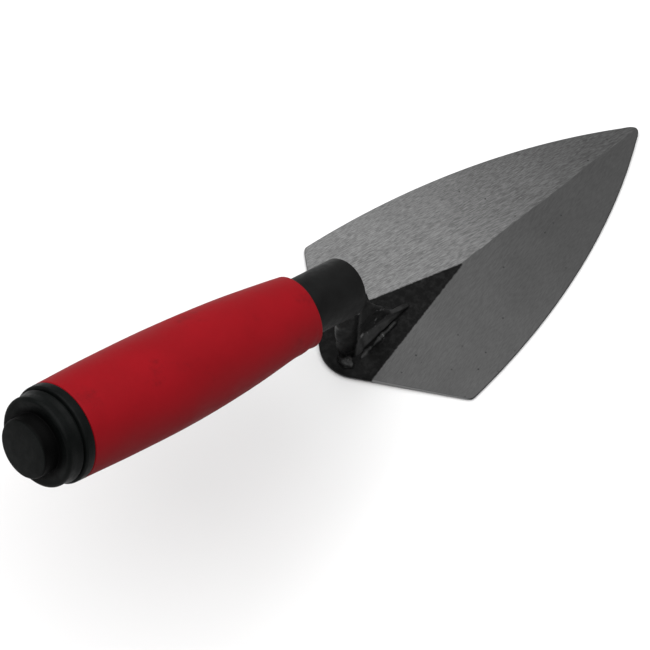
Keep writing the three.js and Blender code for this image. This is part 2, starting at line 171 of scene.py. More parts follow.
def through(table, value):
    """A smooth curve through (position, height) pairs, read at one position."""
    last = len(table) - 1
    i = max(k for k in range(last) if k == 0 or table[k][0] <= value)
    (x0, y0), (x1, y1) = table[i], table[i + 1]

    def slope(k):
        before, after = table[max(k - 1, 0)], table[min(k + 1, last)]
        return (after[1] - before[1]) / (after[0] - before[0])

    run = x1 - x0
    share = clamped((value - x0) / run)
    rise = y1 - y0
    start_bend = slope(i) * run - rise
    end_bend = -slope(i + 1) * run + rise
    return mix(y0, y1, share) + share * (1 - share) * (start_bend * (1 - share) + end_bend * share)


def bezier(points, share):
    """The point at a share of a Bezier curve, by mixing its control points until one is left."""
    points = [Vector(point) for point in points]
    while len(points) > 1:
        points = [a.lerp(b, share) for a, b in zip(points, points[1:])]
    return points[0]


# A handle this share of the way to its corner makes a Bezier curve nearly a circle's arc.
ARC_HANDLE = 0.5523


def rounded(corners, steps=6):
    """A profile through (radius, along, rounding) corners, each rounded by an arc-like curve."""
    flat = [Vector(corner[:2]) for corner in corners]
    out = []
    for i, corner in enumerate(corners):
        here, rounding = flat[i], corner[2]
        if rounding == 0:
            out.append(here)
            continue
        before = here + (flat[i - 1] - here).normalized() * rounding
        after = here + (flat[(i + 1) % len(flat)] - here).normalized() * rounding
        curve = (before, before.lerp(here, ARC_HANDLE), after.lerp(here, ARC_HANDLE), after)
        out += [bezier(curve, k / steps) for k in range(steps + 1)]
    return out


# Points closer than this, in metres, are merged.
MERGE_DISTANCE = 1e-6


def finished(name, points, faces, flat_faces, material, node):
    """A mesh object that stands for a node. Its first faces, up to a count, are shaded flat."""
    mesh = bpy.data.meshes.new(name)
    mesh.from_pydata([Vector(point) * MM for point in points], [], faces)
    for polygon in mesh.polygons:
        polygon.use_smooth = polygon.index >= flat_faces
    work = bmesh.new()
    work.from_mesh(mesh)
    bmesh.ops.remove_doubles(work, verts=work.verts, dist=MERGE_DISTANCE)
    bmesh.ops.dissolve_degenerate(work, edges=work.edges, dist=MERGE_DISTANCE)
    bmesh.ops.recalc_face_normals(work, faces=work.faces)
    work.to_mesh(mesh)
    work.free()
    mesh.materials.append(material)
    piece = bpy.data.objects.new(name, mesh)
    bpy.context.scene.collection.objects.link(piece)
    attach(piece, "root")
    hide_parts(node)


def grid_faces(rows, columns, wrap_rows=False, wrap_columns=True):
    """Four-sided faces between the points of a grid that is stored row by row."""
    faces = []
    for i in range(rows if wrap_rows else rows - 1):
        for j in range(columns if wrap_columns else columns - 1):
            i2, j2 = (i + 1) % rows, (j + 1) % columns
            faces.append((i * columns + j, i * columns + j2, i2 * columns + j2, i2 * columns + j))
    return faces


def on_handle(radius, angle, along):
    """A point round the handle's axis; angle 0 is the top and a quarter turn is the right."""
    return FERRULE_FACE + BACK * along + UP * radius * math.cos(angle) + RIGHT * radius * math.sin(angle)


TURN_STEPS = 144


def turned(name, profile, material, node, shift=None):
    """A solid turned about the handle's axis from a profile of (radius, along) points."""
    points = []
    for radius, along in profile:
        for k in range(TURN_STEPS):
            place = (radius, TAU * k / TURN_STEPS, along)
            points.append(on_handle(*(shift(*place) if shift else place)))
    off_axis = profile[0][0] > 0 or profile[-1][0] > 0
    faces = grid_faces(len(profile), TURN_STEPS, wrap_rows=off_axis)
    finished(name, points, faces, 0, material, node)


# ---- materials


def gray(level):
    return (level,) * 3


class Shading:
    """A material's node tree, with one call for each kind of node.

    Places, distances and bump heights are in millimetres. A texture's scale counts its features to
    the metre.
    """

    def __init__(self, name, roughness=0.5, specular=0.5):
        self.material = bpy.data.materials.new(name)
        self.material.use_nodes = True
        self.tree = self.material.node_tree
        self.shader = self.tree.nodes["Principled BSDF"]
        self.shader.inputs["Roughness"].default_value = roughness
        self.shader.inputs["Specular IOR Level"].default_value = specular
        self.coordinates = self.tree.nodes.new("ShaderNodeTexCoord").outputs

    def put(self, socket, value):
        """Link a socket to another node's output, or set it to a plain value."""
        if isinstance(value, bpy.types.NodeSocket):
            self.tree.links.new(value, socket)
        elif socket.type == "RGBA":
            socket.default_value = (*value, 1)
        else:
            socket.default_value = value

    def math(self, operation, *values):
        node = self.tree.nodes.new("ShaderNodeMath")
        node.operation = operation
        for socket, value in zip(node.inputs, values):
            self.put(socket, value)
        return node.outputs[0]

    def vector(self, operation, *values):
        """The result of a vector operation, which is a plain number for some of them."""
        node = self.tree.nodes.new("ShaderNodeVectorMath")
        node.operation = operation
        for socket, value in zip(node.inputs, values):
            self.put(socket, value)
        return node.outputs["Value" if operation in ("DISTANCE", "DOT_PRODUCT", "LENGTH") else "Vector"]

    def all_of(self, first, *others):
        """The product of some shares, which is one only where each of them is."""
        for other in others:
            first = self.math("MULTIPLY", first, other)
        return first

    def turned_place(self, angle, scale):
        """Coordinates turned about Z by an angle, then stretched by a scale along each axis."""
        turn = self.tree.nodes.new("ShaderNodeMapping")
        turn.vector_type = "POINT"
        turn.inputs["Rotation"].default_value = (0, 0, -angle)
        self.put(turn.inputs["Vector"], self.coordinates["Object"])
        stretch = self.tree.nodes.new("ShaderNodeMapping")
        stretch.inputs["Scale"].default_value = scale
        self.put(stretch.inputs["Vector"], turn.outputs[0])
        return stretch.outputs[0]

    def noise(self, scale, detail=4.0, rough=0.5, place=None):
        node = self.tree.nodes.new("ShaderNodeTexNoise")
        node.inputs["Scale"].default_value = scale
        node.inputs["Detail"].default_value = detail
        node.inputs["Roughness"].default_value = rough
        self.put(node.inputs["Vector"], place or self.coordinates["Object"])
        return node.outputs[0]

    def wander(self, scale, detail, size):
        """Noise about nought, whose highest and lowest values lie a size apart."""
        return self.math("MULTIPLY", self.math("SUBTRACT", self.noise(scale, detail), 0.5), size)

    def spots(self, scale):
        """Distance from the nearest of many scattered points."""
        node = self.tree.nodes.new("ShaderNodeTexVoronoi")
        node.inputs["Scale"].default_value = scale
        self.put(node.inputs["Vector"], self.coordinates["Object"])
        return node.outputs["Distance"]

    def between(self, value, low, high, to_low=0.0, to_high=1.0):
        """A smooth step from to_low at low to to_high at high, which may be the lower of the two."""
        node = self.tree.nodes.new("ShaderNodeMapRange")
        node.interpolation_type = "SMOOTHSTEP"
        self.put(node.inputs["Value"], value)
        for name, number in zip(("From Min", "From Max", "To Min", "To Max"), (low, high, to_low, to_high)):
            node.inputs[name].default_value = number
        return node.outputs[0]

    def band(self, value, low, full_from, full_to, high):
        """One between two values, and nought beyond two wider ones."""
        return self.all_of(self.between(value, low, full_from), self.between(value, high, full_to))

    def blend(self, share, first, second, kind="MIX"):
        node = self.tree.nodes.new("ShaderNodeMix")
        node.data_type = "RGBA"
        node.blend_type = kind
        self.put(node.inputs["Factor"], share)
        # The node keeps a pair of inputs for each data type; the colour pair is the third one.
        self.put(node.inputs[6], first)
        self.put(node.inputs[7], second)
        return node.outputs[2]

    def darkened(self, colour, level):
        return self.blend(1.0, colour, level, "MULTIPLY")

    def split(self, vector):
        node = self.tree.nodes.new("ShaderNodeSeparateXYZ")
        self.put(node.inputs[0], vector)
        return node.outputs

    def place(self):
        """The place in the part's own frame."""
        return self.vector("MULTIPLY", self.coordinates["Object"], (1 / MM,) * 3)

    def away_from(self, point):
        return self.vector("DISTANCE", self.place(), point)

    def round_handle(self):
        """Distance back along the handle's axis, distance out from it, and height over it."""
        arm = self.vector("SUBTRACT", self.place(), FERRULE_FACE)
        along = self.vector("DOT_PRODUCT", arm, BACK)
        radius = self.vector("LENGTH", self.vector("CROSS_PRODUCT", arm, BACK))
        return along, radius, self.vector("DOT_PRODUCT", arm, UP)

    def upright(self):
        """One on a face that stands upright, and none on a level one."""
        facing_up = self.math("ABSOLUTE", self.split(self.coordinates["Normal"])[2])
        return self.between(facing_up, 0.85, 0.3)

    def bump(self, height, distance, strength, below=None):
        node = self.tree.nodes.new("ShaderNodeBump")
        node.inputs["Strength"].default_value = strength
        node.inputs["Distance"].default_value = distance * MM
        self.put(node.inputs["Height"], height)
        if below:
            self.put(node.inputs["Normal"], below)
        return node.outputs[0]

    def set(self, **inputs):
        for name, value in inputs.items():
            self.put(self.shader.inputs[name.replace("_", " ")], value)
        return self.material


# Each facet's grinding: its marks' angle, their dark and light grays, and how they darken along X. The left
# facet's grays are painted light and the right's are painted shade, for how each facet meets the light.
LEFT_GRINDING_PAINTED_LIGHT = (math.atan(-0.157), 0.064, 0.153, (30.0, 135.0, 1.0, 0.47))
RIGHT_GRINDING_PAINTED_SHADE = (math.atan(RIGHT_FLAT_SLOPE), 0.041, 0.058, (20.0, 100.0, 1.0, 0.8))
STREAK_SCALE = (420.0, 3800.0, 900.0)
# The painted light gray of the heel's upright sides.
PAINTED_SIDE_LIGHT_GRAY = 0.2
PIT_GRAY = 0.022

# The lacquer's borders on the blade: where each would meet the middle line, and its slope.
LACQUER_LEFT = (53.5, 0.299)
LACQUER_RIGHT = (56.3, 0.231)
LACQUER_END_X = 53.1
# The heel's lacquer is painted lighter round this spot, painted light where the leg shades it.
PAINTED_LIGHT_SPOT = (-1.5, -5.0, 2.0)


def ground_facets(s, x, left):
    """The facets' gray, with painted light on the left facet and painted shade on the right, and the streaks
    of their grinding marks.
    """
    grays, streaks, falls = [], [], []
    for angle, dark, light, fall in (RIGHT_GRINDING_PAINTED_SHADE, LEFT_GRINDING_PAINTED_LIGHT):
        marks = s.noise(1.0, 4.0, 0.6, s.turned_place(angle, STREAK_SCALE))
        streaks.append(marks)
        grays.append(s.blend(s.between(marks, 0.3, 0.7), gray(dark), gray(light)))
        falls.append(s.between(x, *fall))
    cloud = s.between(s.noise(55.0, 4.0, 0.6), 0.25, 0.75, 0.93, 1.05)
    steel = s.darkened(s.darkened(s.blend(left, *grays), s.blend(left, *falls)), cloud)
    return steel, s.blend(left, *streaks)


def heel_lacquer(s, x, y, z):
    """Where the blade's heel is lacquered, a long triangle with a blunt point, and the lacquer's gray."""
    left_x, left_slope = LACQUER_LEFT
    right_x, right_slope = LACQUER_RIGHT
    inside_left = s.math("SUBTRACT", s.math("MULTIPLY", s.math("SUBTRACT", left_x, x), left_slope), y)
    inside_right = s.math("ADD", s.math("MULTIPLY", s.math("SUBTRACT", right_x, x), right_slope), y)
    inside_end = s.math("SUBTRACT", LACQUER_END_X, x)
    inside = s.math("MINIMUM", s.math("MINIMUM", inside_left, inside_right), inside_end)
    ragged = s.math("ADD", inside, s.wander(900.0, 3.0, 0.7))
    above_underside = s.between(z, 0.4, 0.8)
    mottle = s.between(s.noise(420.0, 8.0, 0.75), 0.42, 0.68)
    # Near the spot the lacquer's mottles are painted lighter, as painted light.
    painted_light_patch = s.all_of(s.between(s.away_from(PAINTED_LIGHT_SPOT), 8.5, 3.0), s.between(mottle, 0.0, 1.0, 0.5, 1.0))
    shade = s.blend(painted_light_patch, s.blend(mottle, gray(0.0016), gray(0.0082)), gray(0.013))
    return s.all_of(s.between(ragged, -0.2, 0.4), above_underside), shade


def blade_steel():
    """Ground steel, with the black lacquer left on the unground heel."""
    s = Shading("ground_steel", specular=0.035)
    x, y, z = s.split(s.place())
    # The ridge between the facets wanders a little, and isn't sharp.
    left = s.between(s.math("ADD", y, s.wander(90.0, 2.0, 1.1)), -0.22, 0.22)
    steel, streaks = ground_facets(s, x, left)

    # The heel's upright sides are painted a bright gray, painted light for sides that sit in shade.
    painted_lit_sides = s.all_of(s.upright(), s.between(x, CORNER.x + 0.2, CORNER.x - 1.2))
    steel = s.blend(painted_lit_sides, steel, gray(PAINTED_SIDE_LIGHT_GRAY))

    # Pits are scattered in a few patches.
    patch = s.between(s.noise(70.0, 1.0), 0.5, 0.54)
    pit = s.all_of(s.between(s.spots(230.0), 0.11, 0.05), patch)
    steel = s.blend(pit, steel, gray(PIT_GRAY))

    coated, coat_gray = heel_lacquer(s, x, y, z)
    bare = s.math("SUBTRACT", 1.0, coated)
    steel_rough = s.between(streaks, 0.2, 0.8, 0.42, 0.5)
    coat_rough = 0.42
    rough = s.math("ADD", s.all_of(steel_rough, bare), s.all_of(coated, coat_rough))
    grain = s.bump(streaks, 0.02, 0.35)
    orange_peel = s.all_of(s.noise(1100.0, 3.0), coated)
    normal = s.bump(orange_peel, 0.06, 0.6, grain)
    colour = s.blend(coated, steel, coat_gray)
    return s.set(Base_Color=colour, Metallic=bare, Roughness=rough, Normal=normal)


# A flake at the foot of the web, painted bright as a partly painted highlight.
FLAKE_AND_HIGHLIGHT_SPOT = (4.5, -1.0, 7.8)


def lacquer():
    """Black lacquer over forged and welded steel, with painted light on the foot's flanks, the web and the
    heel weld's crest, painted shade on the leg, and a flake at the foot of the web painted bright as a partly
    painted highlight.
    """
    s = Shading("black_lacquer", specular=0.06)
    x, y, z = s.split(s.place())
    patches = s.noise(300.0, 5.0, 0.65)
    colour = s.blend(s.between(patches, 0.35, 0.7), gray(0.003), gray(0.0095))

    def lightened(below, where, level, low, high, least):
        """The colour below, lightened to a gray at a place, more in its patches than between them."""
        return s.blend(s.all_of(where, s.between(patches, low, high, least, 1.0)), below, gray(level))

    # The foot's sloping flanks are painted a little lighter, painted light for the bright band they catch.
    along_foot = s.all_of(s.between(x, 2.0, 6.0), s.between(x, 24.0, 15.0, 0.25, 1.0))
    painted_lit_flanks = s.all_of(s.band(z, 2.4, 3.4, 6.8, 8.8), along_foot)
    colour = lightened(colour, painted_lit_flanks, 0.042, 0.25, 0.6, 0.6)
    # The web above the foot is painted lighter too, painted light where the handle shades it.
    web = s.all_of(s.between(z, 6.8, 8.8), s.between(x, 0.5, 3.0))
    colour = lightened(colour, web, 0.018, 0.3, 0.65, 0.4)
    # The heel weld's crest is painted lighter, a painted highlight.
    crest = s.all_of(s.band(z, 2.7, 3.5, 3.9, 4.5), s.between(x, -1.6, -2.6), s.between(y, -1.6, -2.4))
    colour = lightened(colour, crest, 0.038, 0.3, 0.65, 0.3)
    # The leg is painted a deeper black, painted shade on its shaded face.
    leg = s.all_of(s.between(x, 3.0, 0.8), s.between(z, 5.0, 8.0))
    colour = s.blend(s.all_of(leg, 0.35), colour, gray(0.0012))
    # The shank is a little lighter where the leg meets the web, more in the lacquer's patches.
    colour = lightened(colour, s.band(x, -1.2, 0.6, 2.4, 4.5), 0.045, 0.25, 0.6, 0.5)
    chipped = s.between(s.noise(520.0, 2.0), 0.67, 0.71)
    colour = s.blend(chipped, colour, gray(0.09))
    # The lacquer has flaked at a knock at the foot of the web, and the flake is painted bright, partly as a
    # painted highlight for the glint there.
    to_flake_and_highlight = s.math("ADD", s.away_from(FLAKE_AND_HIGHLIGHT_SPOT), s.wander(900.0, 3.0, 2.2))
    colour = s.blend(s.between(to_flake_and_highlight, 1.1, 0.4), colour, gray(0.13))

    rough = s.between(s.noise(500.0, 3.0), 0.3, 0.7, 0.32, 0.5)
    scale = s.bump(s.noise(260.0, 5.0, 0.6), 0.4, 0.5)
    normal = s.bump(s.noise(1300.0, 3.0), 0.08, 0.5, scale)
    return s.set(Base_Color=colour, Roughness=rough, Normal=normal)


def ferrule_black():
    """The satin black coating of the ferrule."""
    s = Shading("ferrule_black", specular=0.055)
    cloud = s.between(s.noise(160.0, 5.0, 0.6), 0.3, 0.75)
    colour = s.blend(cloud, gray(0.005), (0.007, 0.0072, 0.0072))
    rough = s.between(s.noise(420.0, 3.0), 0.3, 0.7, 0.46, 0.58)
    normal = s.bump(s.noise(2600.0, 2.0), 0.03, 0.4)
    return s.set(Base_Color=colour, Roughness=rough, Normal=normal)


def cap_black():
    """Moulded black plastic with a fine spark-eroded texture."""
    s = Shading("black_plastic")
    cloud = s.between(s.noise(140.0, 5.0, 0.6), 0.3, 0.75)
    colour = s.blend(cloud, (0.0022, 0.0027, 0.0026), (0.0037, 0.0044, 0.0042))
    rough = s.between(s.noise(380.0, 3.0), 0.3, 0.7, 0.42, 0.56)
    coarse = s.bump(s.noise(900.0, 3.0), 0.08, 0.4)
    normal = s.bump(s.noise(3200.0, 2.0), 0.04, 0.5, coarse)

    # The end boss's wall and the foot of it are painted a deeper black with less shine, painted shade for the
    # dark ring round the boss.
    along, radius, _ = s.round_handle()
    beside_wall = (BOSS_RADIUS - 0.4, BOSS_RADIUS - 0.1, BOSS_RADIUS + 0.5, BOSS_RADIUS + 2.8)
    boss_wall_shade = s.all_of(s.band(radius, *beside_wall), s.between(along, RIM_START + 0.4, RIM_START + 0.9))
    colour = s.blend(boss_wall_shade, colour, gray(0.0016))
    shine = s.between(boss_wall_shade, 0.0, 1.0, 0.045, 0.02)
    return s.set(Base_Color=colour, Roughness=rough, Specular_IOR_Level=shine, Normal=normal)


def red_rubber():
    """Soft-touch red rubber, with faint smudges from handling, and painted shade on its underside."""
    s = Shading("red_soft_grip", specular=0.06)
    cloud = s.noise(45.0, 5.0, 0.6)
    deep, bright, smudged = (0.177, 0.0027, 0.0057), (0.202, 0.0032, 0.0067), (0.085, 0.003, 0.005)
    red = s.blend(s.between(cloud, 0.3, 0.7), deep, bright)
    smudge = s.between(s.noise(75.0, 6.0, 0.7), 0.54, 0.74)
    red = s.blend(s.all_of(smudge, 0.55), red, smudged)
    # The underside is painted darker, painted shade for the light that falls from above.
    height = s.round_handle()[2]
    red = s.darkened(red, s.between(height, -8.0, 10.0, 0.66, 1.0))
    rough = s.between(cloud, 0.3, 0.7, 0.6, 0.72)
    wave = s.bump(s.noise(120.0, 2.0), 0.12, 0.5)
    normal = s.bump(s.noise(2400.0, 2.0), 0.05, 0.5, wave)
    return s.set(Base_Color=red, Roughness=rough, Normal=normal)


def floor_white():
    """The pale floor, with a very slight cloudiness."""
    s = Shading("studio_floor", roughness=0.9, specular=0.1)
    return s.set(Base_Color=s.blend(s.noise(3.0), gray(0.66), gray(0.68)))


# ---- blade

# Points along each stretch of the outline.
HEEL_STEPS = 24
STRAIGHT_STEPS = 24
ROUND_STEPS = 12
EDGE_STEPS = 110
# Points across the blade on each side: on the unground heel, on the facet, and over the rim.
FLAT_COLUMNS = 5
FACET_COLUMNS = 9
RIM_STEPS = 5


def blade_outline():
    """Half of the outline on the left side, from heel to tip, with outward normals."""
    heel_point = Vector((HEEL_POINT_X, 0.0))
    heel_edge = (CORNER - heel_point).normalized()
    half_angle = math.atan2(heel_edge.y, heel_edge.x)
    centre_x = HEEL_POINT_X + HEEL_ROUND / math.sin(half_angle)
    points = []
    for k in range(HEEL_STEPS + 1):
        angle = math.pi - (math.pi / 2 - half_angle) * k / HEEL_STEPS
        points.append(Vector((centre_x + HEEL_ROUND * math.cos(angle), HEEL_ROUND * math.sin(angle))))
    arc_end = points[-1]
    straight_end = CORNER - heel_edge * CORNER_ROUND
    points += [arc_end.lerp(straight_end, k / STRAIGHT_STEPS) for k in range(1, STRAIGHT_STEPS)]
    tip = Vector((TIP_X, TIP_HALF_WIDTH))
    edge = (CORNER, CORNER + EDGE_START_HANDLE, tip + EDGE_END_HANDLE, tip)
    first, last = CORNER_ROUND / EDGE_LENGTH, 1 - TIP_ROUND / EDGE_LENGTH
    corner = (straight_end, CORNER, bezier(edge, first))
    points += [bezier(corner, k / ROUND_STEPS) for k in range(ROUND_STEPS)]
    points += [bezier(edge, mix(first, last, k / EDGE_STEPS)) for k in range(EDGE_STEPS)]
    nose_x = TIP_X + TIP_HALF_WIDTH / 2
    nose = (bezier(edge, last), Vector((nose_x, TIP_HALF_WIDTH)), Vector((nose_x, 0.0)))
    points += [bezier(nose, k / ROUND_STEPS) for k in range(ROUND_STEPS + 1)]

    normals = [Vector((-1.0, 0.0))]
    for before, after in zip(points, points[2:]):
        along = (after - before).normalized()
        normals.append(Vector((-along.y, along.x)))
    normals.append(Vector((1.0, 0.0)))
    return list(zip(points, normals))


def blade_top(x, y):
    """Height of the blade's upper surface: the flat heel, or the facet on either side of the ridge."""
    fall = (THICKNESS - RIDGE_TIP_THICKNESS) / (TIP_X - RIDGE_START_X)
    slope = LEFT_FLAT_SLOPE if y > 0 else RIGHT_FLAT_SLOPE
    return min(THICKNESS, THICKNESS - fall * ((x - RIDGE_START_X) + abs(y) / slope))


def blade_rows(outline, height):
    """A row of points across the blade inside the rim for each outline point, at a height from x and y."""
    points = []
    for edge, normal in outline:
        x, reach = edge.x - RIM_ROUND * normal.x, max(edge.y - RIM_ROUND * normal.y, 0.0)
        flat_length = max(RIDGE_START_X - x, 0.0)
        for side, slope in ((-1, RIGHT_FLAT_SLOPE), (1, LEFT_FLAT_SLOPE)):
            border = min(flat_length * slope, reach)
            half = [border * k / FLAT_COLUMNS for k in range(FLAT_COLUMNS)]
            half += [mix(border, reach, k / FACET_COLUMNS) for k in range(FACET_COLUMNS + 1)]
            if side < 0:
                half = [-y for y in reversed(half)][:-1]
            points += [(x, y, height(x, y)) for y in half]
    return points


def blade_rim(outline):
    """The rim's points, rows and columns: a rounded section swept out on the right and back on the left."""
    loop = [(edge.x, -edge.y, normal.x, -normal.y) for edge, normal in outline]
    loop += [(edge.x, edge.y, normal.x, normal.y) for edge, normal in reversed(outline)][1:-1]
    angles = [math.pi / 2 * k / RIM_STEPS for k in range(RIM_STEPS + 1)]
    arc = [(RIM_ROUND * math.sin(angle) - RIM_ROUND, RIM_ROUND * (1 - math.cos(angle))) for angle in angles]
    points = []
    for x, y, normal_x, normal_y in loop:
        # The rim starts at the top's height just inside it.
        top = blade_top(x - RIM_ROUND * normal_x, y - RIM_ROUND * normal_y)
        section = [(out, top - drop) for out, drop in arc] + list(reversed(arc))
        points += [(x + out * normal_x, y + out * normal_y, z) for out, z in section]
    return points, len(loop), 2 * len(arc)


def make_blade():
    outline = blade_outline()
    points = blade_rows(outline, blade_top)
    top_faces = grid_faces(len(outline), 2 * (FLAT_COLUMNS + FACET_COLUMNS) + 1, wrap_columns=False)
    base = len(points)
    points += blade_rows(outline, lambda x, y: 0.0)
    faces = top_faces + [tuple(base + k for k in reversed(face)) for face in top_faces]
    flat_faces = len(faces)
    rim = len(points)
    rim_points, rows, columns = blade_rim(outline)
    points += rim_points
    for face in grid_faces(rows, columns, wrap_rows=True, wrap_columns=False):
        faces.append(tuple(rim + k for k in face))
    finished("blade_plate", points, faces, flat_faces, blade_steel(), "blade")


# ---- shank

# The shank's side view as slices, from the blade up into the ferrule: where each slice starts at
# the rear and ends at the front, as x and z.
SHANK_SLICES = (
    ((-3.6, 2.0), (27.4, 2.0)),
    ((-3.9, 2.9), (27.2, 2.9)),
    ((-4.2, 3.7), (25.6, 3.7)),
    ((-4.6, 5.0), (21.6, 4.9)),
    ((-5.2, 7.0), (18.8, 7.0)),
    ((-5.8, 10.0), (16.6, 10.4)),
    ((-6.4, 14.0), (14.3, 14.4)),
    ((-6.7, 18.0), (11.2, 18.4)),
    ((-6.9, 23.0), (8.2, 23.4)),
    ((-7.0, 28.0), (6.2, 29.4)),
    ((-6.9, 34.0), (3.8, 36.5)),
    ((-6.2, 38.2), (1.0, 43.8)),
    ((-6.28, 41.15), (-3.39, 49.46)),
)
# Rows from one slice to the next, points along a slice's side, and rows along the tang.
SLICE_ROWS = 7
SIDE_STEPS = 26
TANG_ROWS = 9

# The foot narrows from its start to its toe, and its flanks get lower.
FOOT_START_X = 0.7
FOOT_LENGTH = 25.0
FOOT_HALF_WIDTHS = (3.4, 1.0)
FLANK_HEIGHTS = (6.4, 1.4)
WEB_HALF_WIDTH = 0.9
# The leg widens from its rear edge over this depth, and is a little wider higher up.
LEG_REAR_HALF_WIDTH = 1.5
LEG_WEDGE_DEPTH = 4.0
LEG_HALF_WIDTHS = (3.1, 3.7)
LEG_WIDENS = (3.0, 12.0)
LEG_MEETS_WEB = (-0.6, 2.6)
# Where the section turns from the leg's into the round neck's, as shares of the height.
NECK_TURN = (0.8, 0.97)
# The leg's edges are rounder above the foot.
EDGE_ROUNDS = (0.9, 1.5)
ROUNDER_ABOVE = (0.1, 0.4)
# Hammer marks fade in above the foot and out below the neck.
HAMMER_DEPTH = 0.35
HAMMER_SCALE = 0.22
HAMMER_FADE_IN = (0.02, 0.12)
HAMMER_FADE_OUT = (0.8, 0.95)


def shank_half_width(x, z, from_rear, tilt):
    """Half the shank's width: a wedge-backed leg, a thin web before it, and a foot with sloping flanks."""
    towards_toe = clamped((x - FOOT_START_X) / FOOT_LENGTH)
    foot = mix(*FOOT_HALF_WIDTHS, towards_toe)
    fall = clamped((z - THICKNESS) / mix(*FLANK_HEIGHTS, towards_toe))
    web = mix(foot, min(WEB_HALF_WIDTH, foot), fall)
    widest = mix(*LEG_HALF_WIDTHS, smoothstep(*LEG_WIDENS, z))
    leg = mix(LEG_REAR_HALF_WIDTH, widest, clamped(from_rear / LEG_WEDGE_DEPTH))
    return mix(mix(leg, web, smoothstep(*LEG_MEETS_WEB, x)), TANG_RADIUS, tilt)


def shank_slices():
    """Each slice's rear and front points and its share of the height, up the leg and along the tang."""
    last = len(SHANK_SLICES) - 1
    curves = []
    for end in (0, 1):
        for axis in (0, 1):
            curves.append([(k, ends[end][axis]) for k, ends in enumerate(SHANK_SLICES)])
    slices = []
    for step in range(last * SLICE_ROWS + 1):
        position = step / SLICE_ROWS
        rear_x, rear_z, front_x, front_z = (through(curve, position) for curve in curves)
        slices.append((Vector((rear_x, 0, rear_z)), Vector((front_x, 0, front_z)), position / last))
    for k in range(1, TANG_ROWS + 1):
        along = TANG_LENGTH * k / TANG_ROWS
        radius = mix(TANG_RADIUS, TANG_END_RADIUS, smoothstep(TANG_TAPER_START, TANG_LENGTH, along))
        if k == TANG_ROWS:
            radius = TANG_POINT_RADIUS
        centre = FERRULE_FACE + BACK * along
        slices.append((centre - UP * radius, centre + UP * radius, 1.0))
    return slices


def shank_ring(rear, front, height):
    """Points round one slice of the shank, whose edges are rounded and whose neck is round."""
    length = (front - rear).length
    tilt = smoothstep(*NECK_TURN, height)
    edge_round = mix(mix(*EDGE_ROUNDS, smoothstep(*ROUNDER_ABOVE, height)), length / 2, tilt)
    side = []
    for k in range(SIDE_STEPS + 1):
        share = (1 - math.cos(math.pi * k / SIDE_STEPS)) / 2
        point = rear.lerp(front, share)
        width = shank_half_width(point.x, point.z, point.x - rear.x, tilt)
        if height == 1.0:
            width = length / 2
        from_end = min(share, 1 - share) * length
        radius = min(edge_round, width)
        if from_end < radius:
            width -= radius * (1 - math.sqrt(max(1 - (1 - from_end / radius) ** 2, 0.0)))
        side.append((point, max(width, 0.0)))
    ring = [point + Vector((0, -width, 0)) for point, width in side]
    return ring + [point + Vector((0, width, 0)) for point, width in reversed(side[1:-1])]


def make_shank():
    slices = shank_slices()
    points = []
    for rear, front, height in slices:
        fade = smoothstep(*HAMMER_FADE_IN, height) * (1 - smoothstep(*HAMMER_FADE_OUT, height))
        marks = HAMMER_DEPTH * fade
        for point in shank_ring(rear, front, height):
            points.append(point + noise.noise_vector(point * HAMMER_SCALE) * marks)
    around = 2 * SIDE_STEPS
    faces = grid_faces(len(slices), around)
    faces.append(tuple(reversed(range(around))))
    faces.append(tuple((len(slices) - 1) * around + k for k in range(around)))
    finished("shank_forging", points, faces, 0, lacquer(), "shank")


# ---- welds

# The side beads run beside the foot, from x at its start to x at its toe, and close in on it.
BEAD_RUN = (0.8, 20.5)
BEAD_SIDEWAYS = (4.75, 2.2)
BEAD_WIDTH = 0.85
BEAD_HEIGHT = 0.95
BEAD_GRAIN = 0.14
BEAD_GRAIN_SCALE = 0.9
BEAD_ROWS = 150
BEAD_STEPS = 20
LUMP_ROWS = 40
LUMP_STEPS = 56
# A weld sinks this far into the blade.
WELD_SINK = 0.25


def make_side_bead(name, node, side, material):
    """A weld bead along one side of the foot: a low, rippled strip with uneven width."""
    points = []
    for i in range(BEAD_ROWS + 1):
        share = i / BEAD_ROWS
        x = mix(*BEAD_RUN, share)
        sway = 0.25 * noise.noise(Vector((x * 0.35, side, 0)))
        centre_y = side * (mix(*BEAD_SIDEWAYS, share) + sway)
        ripple = 0.06 * math.sin(x * 2.6 + 2 * noise.noise(Vector((x * 0.3, 3.1, side))))
        lump = 0.4 * noise.noise(Vector((x * 0.8, 7.7, side)))
        ends = math.sqrt(max(1 - (2 * share - 1) ** 8, 0.0))
        wide = (BEAD_WIDTH + ripple + lump) * ends
        tall = (BEAD_HEIGHT + ripple + lump) * ends
        for k in range(BEAD_STEPS):
            angle = TAU * k / BEAD_STEPS
            point = Vector((x, centre_y + wide * math.cos(angle), THICKNESS + tall * math.sin(angle)))
            point += noise.noise_vector(point * BEAD_GRAIN_SCALE) * BEAD_GRAIN * ends
            points.append((point.x, point.y, max(point.z, THICKNESS - WELD_SINK)))
    faces = grid_faces(BEAD_ROWS + 1, BEAD_STEPS)
    finished(name, points, faces, 0, material, node)


